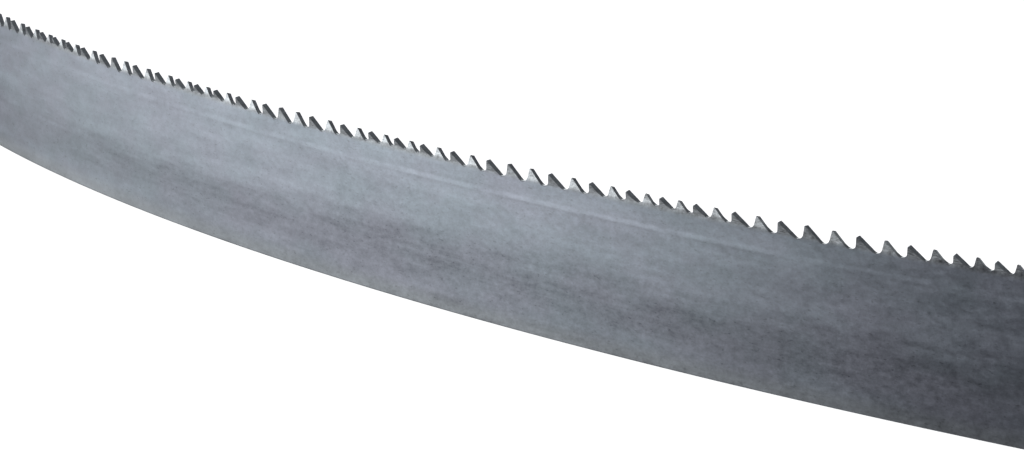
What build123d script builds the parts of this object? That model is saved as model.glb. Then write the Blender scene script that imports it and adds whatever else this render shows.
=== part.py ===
from build123d import *
import os
from math import cos, radians, tan

# Endless band saw blade standing on its back edge, teeth up. Sizes in mm, angles in degrees.
# It is a thin steel band bowed into a loop, with a tooth edge of harder steel welded on top.

# Band
band_height = 27.0          # back edge to tooth tips
band_thickness = 0.9
edge_height = 5.0           # tooth tips down to the weld between tooth edge and backing band

# Loop seen from above: two long sides and two tighter ends, arcs that run into each other
side_radius = 533.0
side_angle = 73.2           # how far each long side turns

# Teeth come in groups. The first tooth of a group stands straight, the others lean inward
# and outward by turns, and the pitch grows and shrinks once in each group
group_count = 42
teeth_per_group = 15
mean_pitch = 3.937
pitch_swing = 0.18          # largest change of pitch, as a share of the mean
coarsest_gullet = 0.7       # teeth from the straight one to the middle of the widest gullet
tooth_set = 0.34            # how far the tip of a leaning tooth stands out of the band
rake_angle = -5.0           # lean of the cutting face, below zero where it leans back
back_angle = 37.0           # slope of a tooth's back
gullet_depth_ratio = 0.485  # depth of a gullet over its pitch
gullet_place = 0.77         # deepest point of a gullet, as a share of its pitch
bend_rise = 0.35            # bend line of a tooth above the gullets beside it

# The loop is made of flat panels of a few teeth each
teeth_per_panel = 3

group_length = teeth_per_group * mean_pitch
loop_length = group_count * group_length
tooth_count = group_count * teeth_per_group
end_angle = 180 - side_angle
end_radius = (loop_length / 2 - side_radius * radians(side_angle)) / radians(end_angle)
loop_half_width = side_radius - (side_radius - end_radius) * cos(radians(side_angle / 2))


def loop_line():
    # Middle of the band's thickness, anticlockwise from the middle of the front side
    front = JernArc((0, -loop_half_width), (1, 0), side_radius, side_angle / 2)
    right_end = JernArc(front @ 1, front % 1, end_radius, end_angle)
    back = JernArc(right_end @ 1, right_end % 1, side_radius, side_angle)
    left_end = JernArc(back @ 1, back % 1, end_radius, end_angle)
    closing = JernArc(left_end @ 1, left_end % 1, side_radius, side_angle / 2)
    return Wire([front, right_end, back, left_end, closing])


def pitch_after(tooth):
    turn = 360 * (tooth + 0.5 - coarsest_gullet) / teeth_per_group
    return mean_pitch * (1 + pitch_swing * cos(radians(turn)))


def gullet_depth(tooth):
    return gullet_depth_ratio * pitch_after(tooth)


def throw_of(tooth):
    # Sideways throw of the tip, outward above zero
    step = tooth % teeth_per_group
    if step == 0:
        return 0
    return tooth_set if step % 2 == 0 else -tooth_set


def tip_places():
    # Distance of each tooth's tip along the loop
    places = [0.0]
    for tooth in range(tooth_count - 1):
        places.append(places[-1] + pitch_after(tooth))
    return places


class Corner:
    # Upright edge between two panels, mitred so that the band keeps its thickness

    def __init__(self, before, middle, after):
        normals = [turned_out(middle - before), turned_out(after - middle)]
        self.middle = middle
        self.across = (normals[0] + normals[1]) / (1 + normals[0].dot(normals[1]))

    def point(self, depth, side):
        flat = self.middle + self.across * (side * band_thickness / 2)
        return Vector(flat.X, flat.Y, band_height - depth)


class Panel:
    # Flat stretch of the band from one gullet's deepest point to another's.
    # side is 1 on the outer face of the band and -1 on the inner face

    def __init__(self, start, end, first_tooth, tips):
        self.start = start
        self.end = end
        self.teeth = range(first_tooth, first_tooth + teeth_per_panel)
        self.tips = tips
        self.start_place = gullet_bottom(first_tooth - 1, tips)
        length = gullet_bottom(self.teeth[-1], tips) - self.start_place
        self.along = (end.middle - start.middle) / length
        self.normal = turned_out(self.along)

    def point(self, place, depth, side, throw=0):
        flat = self.start.middle + self.along * (place - self.start_place)
        flat += self.normal * (side * band_thickness / 2 + throw)
        return Vector(flat.X, flat.Y, band_height - depth)

    def tooth(self, tooth, side):
        # Foot of the cutting face, tip and foot of the back
        place = self.tips[tooth]
        front_depth = gullet_depth(tooth - 1) - bend_rise
        back_depth = gullet_depth(tooth) - bend_rise
        throw = throw_of(tooth)
        # The tip's edge tilts with the tooth, so its corner on the leaning side lies lower
        tilt = max(0, side * throw) * band_thickness / back_depth
        return [
            self.point(place + front_depth * tan(radians(rake_angle)), front_depth, side),
            self.point(place, tilt, side, throw),
            self.point(place + back_depth / tan(radians(back_angle)), back_depth, side),
        ]

    def upper_line(self, side):
        # Along gullets and teeth: gullet bottom, then foot, tip and foot of each tooth
        points = [self.start.point(gullet_depth(self.teeth[0] - 1), side)]
        for tooth in self.teeth:
            points += self.tooth(tooth, side)
            bottom = gullet_bottom(tooth, self.tips)
            points.append(self.point(bottom, gullet_depth(tooth), side))
        points[-1] = self.end.point(gullet_depth(self.teeth[-1]), side)
        return points


def turned_out(direction):
    # Level direction out of the loop for a run along it
    return Vector(direction.Y, -direction.X).normalized()


def gullet_bottom(tooth, tips):
    # Place of the deepest point behind a tooth; the one before the first tooth is below zero
    place = tips[tooth] if tooth >= 0 else tips[tooth] - loop_length
    return place + gullet_place * pitch_after(tooth)


def flat_face(*points):
    return Face(Wire.make_polygon(points, close=True))


def cross_face(start, end, end_inside, start_inside):
    # Through the band's thickness: one face where it is flat, two triangles where it is twisted
    twist = (end - start).cross(start_inside - start).dot(end_inside - start)
    if abs(twist) < 1e-9:
        return [flat_face(start, end, end_inside, start_inside)]
    return [flat_face(start, end, end_inside), flat_face(start, end_inside, start_inside)]


def panel_faces(panel):
    faces = []
    lines = {side: panel.upper_line(side) for side in (1, -1)}
    for side, line in lines.items():
        tips = line[2::4]
        faces += [flat_face(*line[4 * i + 1:4 * i + 4]) for i in range(len(tips))]
        body = [point for point in line if point not in tips]
        body += [panel.end.point(edge_height, side), panel.start.point(edge_height, side)]
        faces.append(flat_face(*body))
    outer, inner = lines[1], lines[-1]
    for i in range(len(outer) - 1):
        faces += cross_face(outer[i], outer[i + 1], inner[i + 1], inner[i])
    return faces


def ring_face(corners, depth):
    # The band's cut edge at one height, all round the loop
    outer = Wire.make_polygon([corner.point(depth, 1) for corner in corners], close=True)
    inner = Wire.make_polygon([corner.point(depth, -1) for corner in corners], close=True)
    return Face(outer, [inner])


def loop_corners(tips):
    line = loop_line()
    seams = [gullet_bottom(tooth - 1, tips) for tooth in range(0, tooth_count, teeth_per_panel)]
    middles = [line @ (seam / loop_length % 1) for seam in seams]
    following = middles[1:] + middles[:1]
    return [Corner(middles[i - 1], middles[i], following[i]) for i in range(len(middles))]


def tooth_edge(corners, tips):
    faces = [ring_face(corners, edge_height)]
    ends = corners[1:] + corners[:1]
    for i, (start, end) in enumerate(zip(corners, ends)):
        faces += panel_faces(Panel(start, end, i * teeth_per_panel, tips))
    return Solid(Shell(faces)).fix()


def backing_band(corners):
    return extrude(ring_face(corners, band_height), band_height - edge_height, (0, 0, 1))


def main():
    tips = tip_places()
    corners = loop_corners(tips)
    os.makedirs("parts", exist_ok=True)
    export_step(backing_band(corners), "parts/backing_band.step")
    export_step(tooth_edge(corners, tips), "parts/tooth_edge.step")
    print(f"loop {loop_length:.1f} mm long, {tooth_count} teeth, ends of {end_radius:.1f} mm radius")


main()
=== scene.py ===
import bpy
import bmesh
import math
import numpy as np
from mathutils import Matrix, Vector


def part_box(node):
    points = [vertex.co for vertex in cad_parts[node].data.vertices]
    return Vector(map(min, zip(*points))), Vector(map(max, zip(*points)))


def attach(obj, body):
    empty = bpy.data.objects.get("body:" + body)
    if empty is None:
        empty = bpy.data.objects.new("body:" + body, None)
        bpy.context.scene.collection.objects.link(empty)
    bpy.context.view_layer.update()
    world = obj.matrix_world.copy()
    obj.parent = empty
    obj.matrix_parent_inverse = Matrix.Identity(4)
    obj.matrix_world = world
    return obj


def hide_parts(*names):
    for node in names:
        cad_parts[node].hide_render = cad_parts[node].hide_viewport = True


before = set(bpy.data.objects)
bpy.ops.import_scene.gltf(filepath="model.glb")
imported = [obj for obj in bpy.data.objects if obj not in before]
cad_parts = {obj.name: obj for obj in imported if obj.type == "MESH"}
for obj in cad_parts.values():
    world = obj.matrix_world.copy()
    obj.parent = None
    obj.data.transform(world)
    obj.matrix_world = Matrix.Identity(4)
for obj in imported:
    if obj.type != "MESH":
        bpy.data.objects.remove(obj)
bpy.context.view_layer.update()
mm = 0.001

# The blade's heights come from the frame: back edge on the floor, weld line, tooth tips
edgeLow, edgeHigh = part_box("tooth_edge")
weldHeight = edgeLow.z
tipHeight = edgeHigh.z

# The loop seen from above: two long sides and two tighter ends
loop = {
    "sideRadius": 533.0 * mm,
    "sideAngle": math.radians(73.2),
    "thickness": 0.9 * mm,
    "groups": 42,
    "teethPerGroup": 15,
    "meanPitch": 3.937 * mm,
}
groupLength = loop["teethPerGroup"] * loop["meanPitch"]
loopLength = loop["groups"] * groupLength
endAngle = math.pi - loop["sideAngle"]
endRadius = (loopLength / 2 - loop["sideRadius"] * loop["sideAngle"]) / endAngle
halfWidth = loop["sideRadius"] - (loop["sideRadius"] - endRadius) * math.cos(loop["sideAngle"] / 2)


def loopArcs():
    # start along the loop, heading there, radius and centre of each arc, from the front's middle
    half = loop["sideAngle"] / 2
    turns = [(loop["sideRadius"], half), (endRadius, endAngle), (loop["sideRadius"], 2 * half),
             (endRadius, endAngle), (loop["sideRadius"], half)]
    arcs = []
    start, heading = 0.0, 0.0
    x, y = 0.0, -halfWidth
    for radius, turn in turns:
        centreX = x - radius * math.sin(heading)
        centreY = y + radius * math.cos(heading)
        arcs.append((start, heading, radius, centreX, centreY))
        start += radius * turn
        heading += turn
        x = centreX + radius * math.sin(heading)
        y = centreY - radius * math.cos(heading)
    return np.array(arcs)


arcTable = loopArcs()
seamGap = 0.002 * mm     # points nearer than this are merged into one


def onLoop(place, out, height):
    # points of the band: distance along the loop, distance out of its middle, height
    within = np.mod(place, loopLength)
    row = arcTable[np.searchsorted(arcTable[:, 0], within, side="right") - 1]
    heading = row[:, 1] + (within - row[:, 0]) / row[:, 2]
    reach = row[:, 2] + out
    return np.column_stack([row[:, 3] + reach * np.sin(heading),
                            row[:, 4] - reach * np.cos(heading), height])


def meshPiece(name, place, out, height, faces, faceKinds, materials):
    # one mesh object of the blade; bandPlace holds its coordinates on the band laid out flat
    mesh = bpy.data.meshes.new(name)
    mesh.from_pydata(onLoop(place, out, height).tolist(), [], faces.tolist())
    for material in materials:
        mesh.materials.append(material)
    mesh.polygons.foreach_set("material_index", faceKinds.astype(np.int32))
    # set for each face's corners, so that no face stretches from the loop's end back to its start
    starts = [face.loop_start for face in mesh.polygons]
    ends = np.zeros(len(mesh.loops), int)
    mesh.loops.foreach_get("vertex_index", ends)
    along = place[ends]
    counts = np.diff(starts + [len(ends)])
    highest = np.repeat(np.maximum.reduceat(along, starts), counts)
    along = np.where(highest - along > loopLength / 2, along + loopLength, along)
    spot = mesh.attributes.new("bandPlace", "FLOAT_VECTOR", "CORNER")
    flat = np.column_stack([along, out[ends], height[ends]])
    spot.data.foreach_set("vector", flat.astype(np.float32).ravel())
    mesh.validate()
    piece = bpy.data.objects.new(name, mesh)
    bpy.context.scene.collection.objects.link(piece)
    return piece


def mergeSeams(piece):
    # blocks and stretches that only touch become one closed skin
    work = bmesh.new()
    work.from_mesh(piece.data)
    bmesh.ops.remove_doubles(work, verts=work.verts, dist=seamGap)
    bmesh.ops.recalc_face_normals(work, faces=work.faces)
    work.to_mesh(piece.data)
    work.free()
    piece.data.update()


def creaseEdges(piece, angle):
    # smooth where faces meet at less than the angle, crisp elsewhere
    mesh = piece.data
    mesh.polygons.foreach_set("use_smooth", np.ones(len(mesh.polygons), bool))
    mesh.set_sharp_from_angle(angle=angle)


# Teeth: the outline between two gullets is worked out once for each tooth of a group
teeth = {
    "pitchSwing": 0.18,         # largest change of pitch, share of the mean
    "coarsestGullet": 0.7,      # teeth from the raker to the widest gullet's middle
    "rake": math.radians(-5),
    "back": math.radians(37),
    "depthRatio": 0.485,
    "faceFillet": 0.19,         # radius between gullet floor and cutting face, share of the pitch
    "backFillet": 0.22,         # radius between gullet floor and tooth back
    "bendRise": 0.36 * mm,
    "bendZone": 0.6 * mm,       # height over which the set bends in
    "set": 0.34 * mm,
    "setWander": 0.12,          # scatter of the set from tooth to tooth, share of it
    "tipRadius": 0.17 * mm,
    "tipShift": 0.16 * mm,      # brings the rounded tip over the solid's sharp one
    "edgeBreak": 0.07 * mm,     # tiny chamfer along the milled edges
    "floorRises": (0.0, 0.02 * mm, 0.07 * mm),  # outline points just above a gullet's floor
    "flankShares": (0.93, 0.87, 0.79, 0.69, 0.57, 0.44, 0.31, 0.18),    # and up to the tip
    "tipFront": (-85, -45, -12),                # round the tip, degrees from straight up
    "tipBack": (37, 25, 10),
    "stripRows": (0.45, 1.0),   # rows of the strip below a tooth, shares of the way to the weld
    "creaseAngle": math.radians(28),
    "wanderSeed": 11,
}


def pitchAfter(step):
    turn = 2 * math.pi * (step + 0.5 - teeth["coarsestGullet"]) / loop["teethPerGroup"]
    return loop["meanPitch"] * (1 + teeth["pitchSwing"] * math.cos(turn))


def gulletDepth(step):
    return teeth["depthRatio"] * pitchAfter(step)


def throwOf(step):
    if step % loop["teethPerGroup"] == 0:
        return 0.0
    return teeth["set"] if step % loop["teethPerGroup"] % 2 == 0 else -teeth["set"]


def faceSide(down, depth, radius):
    # place of the cutting face or its fillet at a depth below the tip
    rake = teeth["rake"]
    if down <= depth - radius * (1 + math.sin(rake)):
        return down * math.tan(rake) - teeth["tipShift"]
    centre = (depth - radius) * math.tan(rake) - radius / math.cos(rake) - teeth["tipShift"]
    return centre + math.sqrt(max(0, radius ** 2 - (down - depth + radius) ** 2))


def tipArc(angle):
    # point of the rounded tip whose direction leans that far from straight up
    radius, rake = teeth["tipRadius"], teeth["rake"]
    middle = radius * math.tan(rake) + radius / math.cos(rake) - teeth["tipShift"]
    return middle + radius * math.sin(angle), radius * (1 - math.cos(angle))


def backSide(down, depth, radius):
    # place of the tooth's back or its fillet at a depth below the tip
    back = teeth["back"]
    tipEnd, tipDrop = tipArc(back)
    start = (tipEnd - tipDrop / math.tan(back)) * (1 - down / depth)
    if down <= depth - radius * (1 - math.cos(back)):
        return start + down / math.tan(back)
    centre = (depth - radius) / math.tan(back) + radius / math.sin(back)
    return start + centre - math.sqrt(max(0, radius ** 2 - (down - depth + radius) ** 2))


def toothOutline(step):
    # from gullet to gullet over one tooth: places from the tip and depths below it
    before, after = gulletDepth(step - 1), gulletDepth(step)
    pitchBefore, pitch = pitchAfter(step - 1), pitchAfter(step)
    faceRadius = teeth["faceFillet"] * pitchBefore
    backRadius = teeth["backFillet"] * pitch
    beforeBack = backSide(before, before, teeth["backFillet"] * pitchBefore) - pitchBefore
    afterFace = faceSide(after, after, teeth["faceFillet"] * pitch) + pitch
    left = [((beforeBack + faceSide(before, before, faceRadius)) / 2, before)]
    right = [((afterFace + backSide(after, after, backRadius)) / 2, after)]
    flanks = ((before, faceRadius, left, faceSide), (after, backRadius, right, backSide))
    for floor, radius, flank, place in flanks:
        for rise in teeth["floorRises"]:
            flank.append((place(floor - rise, floor, radius), floor - rise))
        for share in teeth["flankShares"]:
            down = min(before, after) * share
            flank.append((place(down, floor, radius), down))
    left += [tipArc(math.radians(angle)) for angle in teeth["tipFront"]]
    right += [tipArc(math.radians(angle)) for angle in teeth["tipBack"]]
    return np.array(left + right[::-1])


def outwardNormals(line):
    # the direction out of the metal at each point of an outline that runs to the right
    along = np.diff(line, axis=0)
    normals = np.column_stack([along[:, 1], -along[:, 0]])
    normals /= np.linalg.norm(normals, axis=1)[:, None]
    joined = np.vstack([normals[:1], normals[:-1] + normals[1:], normals[-1:]])
    return joined / np.linalg.norm(joined, axis=1)[:, None]


def toothBlock(step):
    # vertices (place from tip, out, depth) and faces of one tooth with the strip below it
    line = toothOutline(step)
    count = len(line)
    inset = line - outwardNormals(line) * teeth["edgeBreak"]
    inset[0, 0], inset[-1, 0] = line[0, 0], line[-1, 0]
    half = loop["thickness"] / 2
    rims = []
    for points, out in ((inset, half), (line, half - teeth["edgeBreak"]),
                        (line, teeth["edgeBreak"] - half), (inset, -half)):
        rims.append(np.column_stack([points[:, 0], np.full(count, out), points[:, 1]]))
    vertices = np.vstack(rims)
    faces, kinds = [], []

    def add(corners, kind):
        faces.append(corners)
        kinds.append(kind)

    for rim in range(3):                       # chamfer, milled surface, chamfer
        for i in range(count - 1):
            a, b = rim * count + i, (rim + 1) * count + i
            add([a, a + 1, b + 1, b], 1)
    tip = count // 2 - 1
    for rim, flip in ((0, False), (3, True)):  # the tooth's two flat sides
        first = rim * count
        for i in range(1, tip):
            corners = [first + i, first + count - 1 - i, first + count - 2 - i, first + i + 1]
            add(corners[::-1] if flip else corners, 0)
    stripDepth = tipHeight - weldHeight
    tops = [0, 1, count - 2, count - 1]        # the strip below hangs from these outline points
    rows = {}
    for rim, out in ((0, half), (3, -half)):
        rows[rim] = [[rim * count + i for i in tops]]
        for share in teeth["stripRows"]:
            start = len(vertices)
            level = [[inset[i, 0], out, inset[i, 1] + (stripDepth - inset[i, 1]) * share]
                     for i in tops]
            vertices = np.vstack([vertices, level])
            rows[rim].append(list(range(start, start + len(tops))))
    for rim, flip in ((0, False), (3, True)):
        for upper, under in zip(rows[rim][:-1], rows[rim][1:]):
            for i in range(len(tops) - 1):
                corners = [upper[i], under[i], under[i + 1], upper[i + 1]]
                add(corners[::-1] if flip else corners, 0)
    for i in range(len(tops) - 1):             # weld face
        add([rows[0][-1][i], rows[3][-1][i], rows[3][-1][i + 1], rows[0][-1][i + 1]], 0)
    return vertices, np.array(faces), np.array(kinds)


def leanTooth(block, step, share):
    # bends a tooth sideways above its bend line; the corner on the leaning side sinks
    throw, zone = throwOf(step) * share, teeth["bendZone"]
    out, down = block[:, 1].copy(), block[:, 2].copy()
    if throw:
        bendStart = min(gulletDepth(step - 1), gulletDepth(step)) - teeth["bendRise"] + zone / 2
        rise = np.maximum(bendStart - block[:, 2], 0)
        slope = abs(throw) / (bendStart - zone / 2)
        bent = np.minimum(rise / zone, 1)
        lean = slope * np.where(bent < 1, rise * bent / 2, rise - zone / 2)
        side = math.copysign(1, throw)
        out += side * lean
        down += (loop["thickness"] / 2 + side * block[:, 1]) * slope * bent
    return out, down


def buildToothEdge(materials):
    print("teeth: milling", loop["groups"] * loop["teethPerGroup"], "teeth")
    wander = np.random.default_rng(teeth["wanderSeed"])
    perGroup = loop["teethPerGroup"]
    blocks = [toothBlock(step) for step in range(perGroup)]
    tips = np.cumsum([0] + [pitchAfter(step) for step in range(perGroup - 1)])
    place, out, height, faces, kinds = [], [], [], [], []
    total = 0
    for group in range(loop["groups"]):
        for step, (block, blockFaces, blockKinds) in enumerate(blocks):
            share = 1 + teeth["setWander"] * wander.uniform(-1, 1)
            leaned, down = leanTooth(block, step, share)
            start = (group - loop["groups"] / 2) * groupLength + tips[step]
            place.append(start + block[:, 0])
            out.append(leaned)
            height.append(tipHeight - down)
            faces.append(blockFaces + total)
            kinds.append(blockKinds)
            total += len(block)
    piece = meshPiece("toothEdge", np.concatenate(place), np.concatenate(out),
                      np.concatenate(height), np.vstack(faces), np.concatenate(kinds), materials)
    mergeSeams(piece)
    creaseEdges(piece, teeth["creaseAngle"])
    return piece


# Backing band: a profile with a softly rounded back edge, carried round the loop
band = {
    "backRadius": 0.12 * mm,    # rounding of the two back corners
    "cornerSteps": 3,
    "stretches": 1260,          # lengths that the loop is divided into
    "faceRows": (15.0, 8.0, 3.0, 0.8, 0.25),    # heights of the lines along the faces, mm
    "weldBead": 0.004 * mm,     # hair-thin bead that covers the seam
    "beadTuck": 0.05 * mm,      # how deep its upper lip dives into the tooth edge
    "lipTop": 1.6,              # its lip's top above the weld, then its foot and run-out below,
    "beadFoot": 4,              # all three counted in tucks
    "beadEnd": 20,
    "creaseAngle": math.radians(40),
}


def bandProfile():
    # out and height, down the outer face, round the back edge and up the inner face
    half, radius = loop["thickness"] / 2, band["backRadius"]
    bead, tuck = band["weldBead"], band["beadTuck"]
    outer = [(half - 2 * tuck, weldHeight + band["lipTop"] * tuck),
             (half + bead, weldHeight + tuck),
             (half + bead, weldHeight - band["beadFoot"] * tuck),
             (half, weldHeight - band["beadEnd"] * tuck)]
    outer += [(half, row * mm) for row in band["faceRows"]]
    for i in range(band["cornerSteps"] + 1):
        turn = math.pi / 2 * i / band["cornerSteps"]
        outer.append((half - radius + radius * math.cos(turn), radius - radius * math.sin(turn)))
    inner = [(-out, height) for out, height in outer[::-1]]
    return np.array(outer + inner)


def buildBackingBand(materials):
    print("backing band: bending the strip round the loop")
    profile = bandProfile()
    count, steps = len(profile), band["stretches"]
    places = (np.arange(steps) / steps - 0.5) * loopLength
    place = np.repeat(places, count)
    out = np.tile(profile[:, 0], steps)
    height = np.tile(profile[:, 1], steps)
    column = np.arange(steps)
    faces = []
    for i in range(count):
        after = (i + 1) % count
        here, there = column * count, (column + 1) % steps * count
        faces.append(np.column_stack([here + i, here + after, there + after, there + i]))
    faces = np.vstack(faces)
    piece = meshPiece("backingBand", place, out, height, faces, np.zeros(len(faces)), materials)
    mergeSeams(piece)
    creaseEdges(piece, band["creaseAngle"])
    return piece


def feed(tree, value, socket):
    # a number or a tuple is set on the socket itself, anything else is linked to it
    if isinstance(value, (int, float, tuple)):
        socket.default_value = value
    else:
        tree.links.new(value, socket)


def calc(tree, operation, *values):
    made = tree.nodes.new("ShaderNodeMath")
    made.operation = operation
    for value, socket in zip(values, made.inputs):
        feed(tree, value, socket)
    return made.outputs[0]


def plus(tree, a, b):
    return calc(tree, "ADD", a, b)


def minus(tree, a, b):
    return calc(tree, "SUBTRACT", a, b)


def times(tree, a, b):
    return calc(tree, "MULTIPLY", a, b)


def apart(tree, a, b):
    return calc(tree, "ABSOLUTE", minus(tree, a, b))


def ramp(tree, value, low, high, toLow=0.0, toHigh=1.0):
    # a soft step from toLow to toHigh while the value goes from low to high
    made = tree.nodes.new("ShaderNodeMapRange")
    made.interpolation_type = "SMOOTHSTEP"
    limits = {"From Min": low, "From Max": high, "To Min": toLow, "To Max": toHigh}
    for name, number in limits.items():
        made.inputs[name].default_value = number
    feed(tree, value, made.inputs["Value"])
    return made.outputs["Result"]


def longWave(tree, place, wave):
    # slow wave along the loop that meets itself where the loop closes
    waves, crest, middle, swing = wave
    turn = times(tree, minus(tree, place, crest), 2 * math.pi * waves / loopLength)
    return plus(tree, times(tree, calc(tree, "COSINE", turn), swing), middle)


def bandSpot(tree, sideShift=0.0):
    # where a point lies on the flat band, and the same rolled into a ring so that patterns meet
    # where the loop closes; sideShift sets the patterns of the inner and outer face apart
    source = tree.nodes.new("ShaderNodeAttribute")
    source.attribute_name = "bandPlace"
    split = tree.nodes.new("ShaderNodeSeparateXYZ")
    feed(tree, source.outputs["Vector"], split.inputs[0])
    place, out, height = split.outputs
    ringRadius = loopLength / (2 * math.pi)
    turn = times(tree, place, 2 * math.pi / loopLength)
    ring = tree.nodes.new("ShaderNodeCombineXYZ")
    feed(tree, times(tree, calc(tree, "SINE", turn), ringRadius), ring.inputs[0])
    feed(tree, times(tree, calc(tree, "COSINE", turn), ringRadius), ring.inputs[1])
    feed(tree, plus(tree, height, times(tree, out, sideShift)), ring.inputs[2])
    return {"ring": ring.outputs[0], "place": place, "height": height}


def cloud(tree, spot, pattern):
    # noise around zero; length and height of its patches in mm, detail, roughness, seed
    length, high, detail, roughness, seed = pattern
    scale = tree.nodes.new("ShaderNodeVectorMath")
    scale.operation = "MULTIPLY_ADD"
    feed(tree, spot["ring"], scale.inputs[0])
    scale.inputs[1].default_value = (1 / (length * mm), 1 / (length * mm), 1 / (high * mm))
    scale.inputs[2].default_value = (seed, seed * 0.7, seed * 1.3)
    noise = tree.nodes.new("ShaderNodeTexNoise")
    noise.inputs["Scale"].default_value = 1.0
    noise.inputs["Detail"].default_value = detail
    noise.inputs["Roughness"].default_value = roughness
    feed(tree, scale.outputs[0], noise.inputs["Vector"])
    return minus(tree, noise.outputs["Fac"], 0.5)


def mixTint(tree, share, first, second):
    made = tree.nodes.new("ShaderNodeMix")
    made.data_type = "RGBA"
    for value, socket in zip((share, first, second), (made.inputs[i] for i in (0, 6, 7))):
        feed(tree, value, socket)
    return made.outputs[2]


def newMetal(name):
    material = bpy.data.materials.new(name)
    material.use_nodes = True
    tree = material.node_tree
    shader = tree.nodes["Principled BSDF"]
    shader.inputs["Metallic"].default_value = 1.0
    return material, tree, shader


def finishMetal(tree, shader, tint, tone, rough, bump, strength, distance):
    # tone lightens or darkens the tint, and bump gives the grain's relief
    shade = tree.nodes.new("ShaderNodeVectorMath")
    shade.operation = "SCALE"
    feed(tree, tint, shade.inputs[0])
    feed(tree, plus(tree, tone, 1.0), shade.inputs["Scale"])
    feed(tree, shade.outputs[0], shader.inputs["Base Color"])
    feed(tree, rough, shader.inputs["Roughness"])
    relief = tree.nodes.new("ShaderNodeBump")
    relief.inputs["Strength"].default_value = strength
    relief.inputs["Distance"].default_value = distance
    feed(tree, bump, relief.inputs["Height"])
    feed(tree, relief.outputs[0], shader.inputs["Normal"])


# Blasted spring steel of the band's faces. Heights are counted from the back edge; a pair of
# them is where an effect starts and where it is full
steel = {
    "warmTint": (0.545, 0.575, 0.660, 1),   # patches that lean to violet
    "coolTint": (0.515, 0.585, 0.650, 1),   # patches that lean to green
    "edgeTint": (0.546, 0.59, 0.626, 1),    # greyer along the back edge
    "toothTint": (0.555, 0.59, 0.610, 1),   # and on the sides of the teeth
    "edgeTintHeights": (3.5 * mm, 0.5 * mm),
    "toothTintHeights": (24.5 * mm, 25.5 * mm),
    "hueRange": (-0.2, 0.2),
    "hueViolet": 0.6,                       # how far each of the three turns the tint to violet
    "beltViolet": 0.35,
    "broadViolet": 1.2,
    "roughness": 0.37,
    "roughWander": 0.10,
    "sideShift": 15.0,
    # length and height of the patches in mm, detail, roughness, seed
    "patterns": {
        "clouds": (38, 7, 3.0, 0.55, 3.1),
        "streaks": (24, 1.8, 2.0, 0.5, 8.4),
        "blotches": (7.5, 2.4, 2.0, 0.5, 1.7),
        "mottle": (1.5, 0.8, 2.0, 0.55, 5.2),
        "flecks": (0.44, 0.32, 1.0, 0.5, 4.8),
        "scuffs": (17, 0.6, 2.0, 0.5, 6.1),
        "linePatches": (9, 5, 2.0, 0.6, 6.6),
        "pits": (0.9, 0.32, 1.0, 0.5, 12.3),
        "hue": (11, 6, 2.0, 0.5, 9.9),
        "broadHue": (45, 14, 1.0, 0.5, 2.9),
        "grain": (0.16, 0.2, 2.0, 0.6, 2.3),
    },
    "cloudStrength": 0.24,
    "streakStrength": 0.27,
    "blotchStrength": 0.34,
    "mottleStrength": 0.48,
    "fleckStrength": 0.26,
    "toothGrain": 4.0,                      # how much coarser the teeth's sides look
    "toothGrainHeights": (24.7 * mm, 25.6 * mm),
    "grainBump": 0.25,
    "grainDistance": 0.03 * mm,
    "mottleBump": 0.8,
    # waves along the loop: how many, a crest's place in metres, middle, swing
    "grainWave": (5, 0.13, 0.78, 0.30),
    "beltWave": (5, 0.06, 0.72, 0.33),
    "lineWave": (7, 0.07, 0.62, 0.43),
    # painted highlight along the weld bead, and painted shadow below it
    "weldWidth": 0.42 * mm,
    "weldFade": (1.6, 0.2),                 # where the pale line starts and is full, in widths
    "weldHighlight": 0.24,
    "lineDrop": 0.08 * mm,                  # how far below the joint the line's middle runs
    "linePatchRange": (-0.12, 0.1),
    "lineLeast": 0.45,                      # what the patches leave of it at least
    "shadowDrop": 0.54 * mm,                # faint dark line below the pale one
    "shadowFade": (0.3 * mm, 0.05 * mm),
    "shadowDepth": 0.06,
    "pitRange": (-0.15, -0.25),
    "pitDepth": 0.18,
    # darker towards the teeth's tips
    "tipDarkening": 0.22,
    "tipHeights": (25.6 * mm, 26.8 * mm),
    # painted shade along the rounded back edge
    "backEdgeShade": 0.12,                    # the cut back edge is a little darker
    "backHeights": (0.3 * mm, 0.1 * mm),
    # painted shade: the darker belt stands in for a dimmer reflection on the band's lower part
    "beltDepth": 0.30,                      # darker belt along the lower part of the band
    "beltTop": (16 * mm, 8 * mm),
    "beltFoot": (3 * mm, 7 * mm),
    "beltWander": 3 * mm,
    "beltFade": 0.60,                       # how much of it is left at the back edge
    "scuffStrength": 0.22,                  # thin lengthwise streaks in that belt
}


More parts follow.
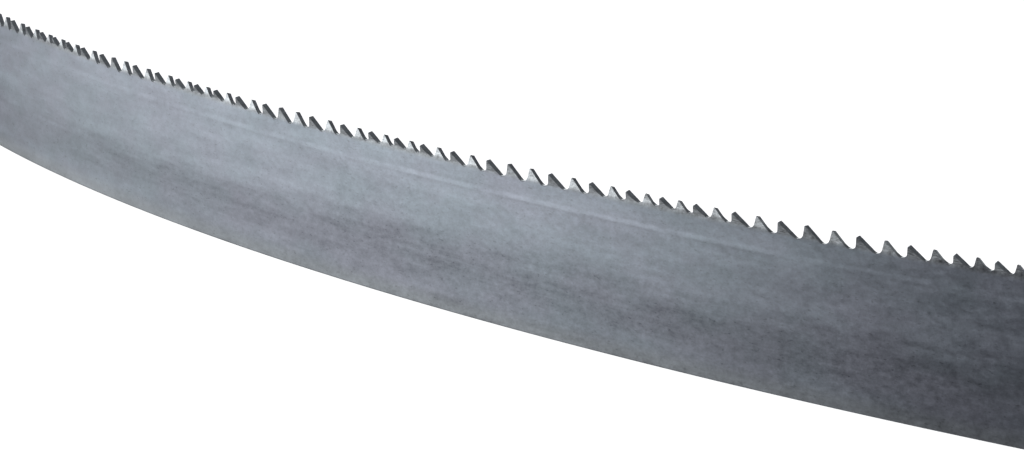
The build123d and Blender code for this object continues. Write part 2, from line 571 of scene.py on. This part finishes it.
def bladeSteel(name):
    material, tree, shader = newMetal(name)
    spot = bandSpot(tree, steel["sideShift"])
    place, height = spot["place"], spot["height"]
    noise = {kind: cloud(tree, spot, pattern) for kind, pattern in steel["patterns"].items()}

    # broad clouds down to fine flecks, coarser on the teeth
    rougher = ramp(tree, height, *steel["toothGrainHeights"], 1.0, steel["toothGrain"])
    rougher = times(tree, rougher, longWave(tree, place, steel["grainWave"]))
    mottle = times(tree, noise["mottle"], rougher)
    flecks = times(tree, noise["flecks"], rougher)
    tone = times(tree, noise["clouds"], steel["cloudStrength"])
    for pattern, strength in ((noise["streaks"], "streakStrength"),
                              (noise["blotches"], "blotchStrength"),
                              (mottle, "mottleStrength"), (flecks, "fleckStrength")):
        tone = plus(tree, tone, times(tree, pattern, steel[strength]))

    # painted shade: a darker belt low on the band, a little lighter again towards the back edge,
    # with thin lengthwise scuffs in it
    wandered = plus(tree, height, times(tree, noise["streaks"], steel["beltWander"]))
    belt = times(tree, ramp(tree, wandered, *steel["beltTop"]),
                 ramp(tree, wandered, *steel["beltFoot"], steel["beltFade"]))
    belt = times(tree, belt, longWave(tree, place, steel["beltWave"]))
    beltShadeAndScuffs = plus(tree, times(tree, noise["scuffs"], steel["scuffStrength"]), steel["beltDepth"])
    tone = minus(tree, tone, times(tree, belt, beltShadeAndScuffs))

    # painted highlight: a pale line along the weld bead, with a faint painted shadow below it,
    # both broken up along their length
    lineHeight = weldHeight - steel["lineDrop"]
    fadeStart, fadeEnd = (steel["weldWidth"] * share for share in steel["weldFade"])
    line = ramp(tree, apart(tree, height, lineHeight), fadeStart, fadeEnd)
    patchy = ramp(tree, noise["linePatches"], *steel["linePatchRange"], steel["lineLeast"])
    patchy = times(tree, patchy, longWave(tree, place, steel["lineWave"]))
    tone = plus(tree, tone, times(tree, times(tree, line, patchy), steel["weldHighlight"]))
    offShadow = apart(tree, height, lineHeight - steel["shadowDrop"])
    shadow = ramp(tree, offShadow, *steel["shadowFade"], 0.0, steel["shadowDepth"])
    tone = minus(tree, tone, times(tree, shadow, patchy))

    # small dark pits, steel darker towards the teeth's tips, and painted shade along the rounded
    # back edge
    pits = ramp(tree, noise["pits"], *steel["pitRange"])
    tone = minus(tree, tone, times(tree, pits, steel["pitDepth"]))
    tone = minus(tree, tone, ramp(tree, height, *steel["tipHeights"], 0.0, steel["tipDarkening"]))
    tone = minus(tree, tone, ramp(tree, height, *steel["backHeights"], 0.0, steel["backEdgeShade"]))

    violet = ramp(tree, noise["hue"], *steel["hueRange"], 0.0, steel["hueViolet"])
    violet = plus(tree, violet, times(tree, belt, steel["beltViolet"]))
    violet = plus(tree, violet, times(tree, noise["broadHue"], steel["broadViolet"]))
    tint = mixTint(tree, violet, steel["coolTint"], steel["warmTint"])
    tint = mixTint(tree, ramp(tree, height, *steel["edgeTintHeights"]), tint, steel["edgeTint"])
    tint = mixTint(tree, ramp(tree, height, *steel["toothTintHeights"]), tint, steel["toothTint"])

    rough = plus(tree, times(tree, noise["blotches"], steel["roughWander"]), steel["roughness"])
    rough = plus(tree, rough, times(tree, mottle, steel["roughWander"]))
    bump = plus(tree, noise["grain"], times(tree, mottle, steel["mottleBump"]))
    finishMetal(tree, shader, tint, tone, rough, bump, steel["grainBump"], steel["grainDistance"])
    return material


# Milled surfaces of the teeth: backs, gullets and cutting faces
milled = {
    "color": (0.375, 0.41, 0.435),
    "roughness": 0.42,
    "roughWander": 0.2,
    "lines": (0.07, 0.07, 2.0, 0.6, 4.2),
    "patches": (0.7, 0.7, 2.0, 0.5, 7.7),
    "lineStrength": 0.9,        # milling lines across the thickness
    "lineBump": 0.3,
    "lineDistance": 0.02 * mm,
}


def milledSteel(name):
    material, tree, shader = newMetal(name)
    spot = bandSpot(tree)
    lines = cloud(tree, spot, milled["lines"])
    patches = cloud(tree, spot, milled["patches"])
    tone = times(tree, plus(tree, lines, patches), milled["lineStrength"])
    rough = plus(tree, times(tree, patches, milled["roughWander"]), milled["roughness"])
    finishMetal(tree, shader, milled["color"], tone, rough, lines,
                milled["lineBump"], milled["lineDistance"])
    return material


print("finishes: steel and milled steel")
backingSteel = bladeSteel("backingSteel")
toothSteel = bladeSteel("toothSteel")
milledTeeth = milledSteel("milledTeeth")

bandPiece = buildBackingBand([backingSteel])
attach(bandPiece, "root")
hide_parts("backing_band")

teethPiece = buildToothEdge([toothSteel, milledTeeth])
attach(teethPiece, "root")
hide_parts("tooth_edge")


# Studio: pale floor, a large soft light from the left, weaker ones for the other sides
studio = {
    "floorSize": 40.0,
    "floorLevel": -0.05 * mm,
    "floorGlow": 0.93,
    "floorColor": (0.9, 0.9, 0.9, 1),
    "floorRoughness": 0.9,
    "worldColor": (0.036, 0.036, 0.044, 1),
    "distance": 2.2,
    "aim": (0.0, -0.34),
    # each light's direction from -Y towards -X in degrees, width, lowest and highest point, glow
    "lights": {
        "lowKeyLight": (51.1, 2.88, -0.75, 0.05, 0.54),
        "underLight": (51.4, 2.8, -2.6, -0.75, 0.29),
        "keyLight": (51.0, 2.75, 0.05, 0.90, 2.0),
        "leftBackLight": (128.0, 1.2, 0.05, 1.80, 2.2),
        "backLight": (195.0, 3.4, -2.40, 0.90, 0.70),
        "rightLight": (275.0, 2.8, -2.40, 0.90, 0.62),
        "frontLight": (330.0, 1.5, -1.20, 0.70, 0.08),
    },
    # height and glow of two level panels, one for the backs of the teeth and one under the
    # floor, in place of what a white table throws back
    "levelLights": {
        "ceilingLight": (3.0, 0.15),
        "tableLight": (-3.0, 0.27),
    },
    "levelSize": 7.0,
}
white = (1, 1, 1, 1)


def newPanel(name, width, height, glow):
    # a panel of light that the camera doesn't see
    data = bpy.data.lights.new(name, "AREA")
    data.shape = "RECTANGLE"
    data.size, data.size_y = width, height
    data.energy = glow * math.pi * width * height
    lamp = bpy.data.objects.new(name, data)
    lamp.visible_camera = False
    bpy.context.scene.collection.objects.link(lamp)
    return lamp


def softLight(name, bearing, width, low, high, glow):
    # upright, all round the blade and turned to it
    lamp = newPanel(name, width, high - low, glow)
    turn = math.radians(bearing)
    away = Vector((-math.sin(turn), -math.cos(turn), 0))
    middle = Vector((*studio["aim"], (low + high) / 2))
    lamp.location = middle + away * studio["distance"]
    lamp.rotation_euler = (-away).to_track_quat("-Z", "Y").to_euler()


def levelLight(name, height, glow):
    # level, above or below the blade and turned to it
    lamp = newPanel(name, studio["levelSize"], studio["levelSize"], glow)
    lamp.location = (*studio["aim"], height)
    lamp.rotation_euler = (math.pi if height < 0 else 0, 0, 0)


def buildFloor():
    half, level = studio["floorSize"] / 2, studio["floorLevel"]
    corners = [(-half, -half, level), (half, -half, level),
               (half, half, level), (-half, half, level)]
    mesh = bpy.data.meshes.new("floor")
    mesh.from_pydata(corners, [], [(0, 1, 2, 3)])
    floor = bpy.data.objects.new("floor", mesh)
    bpy.context.scene.collection.objects.link(floor)
    material = bpy.data.materials.new("paleFloor")
    material.use_nodes = True
    shader = material.node_tree.nodes["Principled BSDF"]
    shader.inputs["Base Color"].default_value = studio["floorColor"]
    shader.inputs["Roughness"].default_value = studio["floorRoughness"]
    shader.inputs["Emission Color"].default_value = white
    shader.inputs["Emission Strength"].default_value = studio["floorGlow"]
    mesh.materials.append(material)
    floor.visible_diffuse = False
    floor.visible_glossy = False
    floor.visible_shadow = False    # the low lights shine through it, as off a white table


def buildWorld():
    # dim light on the blade, plain white behind it
    world = bpy.data.worlds.new("studio")
    world.use_nodes = True
    tree = world.node_tree
    dim = tree.nodes["Background"]
    dim.inputs["Color"].default_value = studio["worldColor"]
    behind = tree.nodes.new("ShaderNodeBackground")
    behind.inputs["Color"].default_value = white
    path = tree.nodes.new("ShaderNodeLightPath")
    mix = tree.nodes.new("ShaderNodeMixShader")
    feed(tree, path.outputs["Is Camera Ray"], mix.inputs[0])
    feed(tree, dim.outputs[0], mix.inputs[1])
    feed(tree, behind.outputs[0], mix.inputs[2])
    feed(tree, mix.outputs[0], tree.nodes["World Output"].inputs["Surface"])
    bpy.context.scene.world = world


# Camera, from outside the bowed front side, looking along it to the left and down
shot = {
    "place": (0.44084, -0.66885, 0.11802),
    "heading": 139.390,          # degrees from +X
    "tilt": -11.489,
    "roll": 3.249,
    "focalPixels": 3137.1,
    "imageWidth": 1024,
    "sensor": 36.0,
    "nearest": 0.01,
    "farthest": 100,
}


def buildCamera():
    heading, tilt, roll = (math.radians(shot[name]) for name in ("heading", "tilt", "roll"))
    forward = Vector((math.cos(heading) * math.cos(tilt),
                      math.sin(heading) * math.cos(tilt), math.sin(tilt)))
    level = forward.cross(Vector((0, 0, 1))).normalized()
    upright = level.cross(forward)
    right = math.cos(roll) * level + math.sin(roll) * upright
    up = -math.sin(roll) * level + math.cos(roll) * upright
    data = bpy.data.cameras.new("camera")
    data.sensor_fit = "HORIZONTAL"
    data.sensor_width = shot["sensor"]
    data.lens = shot["sensor"] * shot["focalPixels"] / shot["imageWidth"]
    data.clip_start, data.clip_end = shot["nearest"], shot["farthest"]
    camera = bpy.data.objects.new("camera", data)
    turn = Matrix((right, up, -forward)).transposed().to_4x4()
    camera.matrix_world = Matrix.Translation(Vector(shot["place"])) @ turn
    bpy.context.scene.collection.objects.link(camera)
    bpy.context.scene.camera = camera


print("studio: floor, lights and camera")
buildFloor()
buildWorld()
for name, layout in studio["lights"].items():
    softLight(name, *layout)
for name, layout in studio["levelLights"].items():
    levelLight(name, *layout)
buildCamera()
bpy.context.scene.view_settings.view_transform = "Standard"

print("blade ready")
